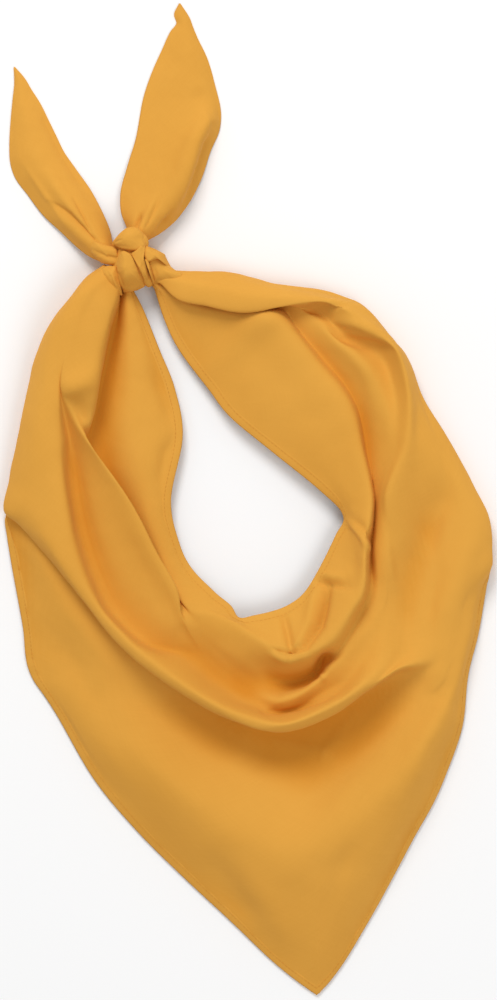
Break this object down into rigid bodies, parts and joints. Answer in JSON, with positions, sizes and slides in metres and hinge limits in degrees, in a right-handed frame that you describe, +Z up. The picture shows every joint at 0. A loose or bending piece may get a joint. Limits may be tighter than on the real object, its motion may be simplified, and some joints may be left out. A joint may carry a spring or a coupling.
{
  "type": "neckerchief",
  "caption": "Plain triangular cotton neckerchief, hemmed all round, tied at the back of the neck in a small knot with free tails, and laid flat.",
  "frame": {"origin": "under the middle of the whole scarf, on the surface that it lies on", "axes": "+Z up from the surface, +Y from the hanging point towards the knot and tails, +X to the right"},
  "size_m": [0.3528, 0.7172, 0.0425],
  "materials": {
    "cloth": "matte"
  },
  "bodies": {
    "root": {"drape": "cloth", "knot": "cloth", "tail_left": "cloth", "tail_right": "cloth"}
  },
  "joints": []
}
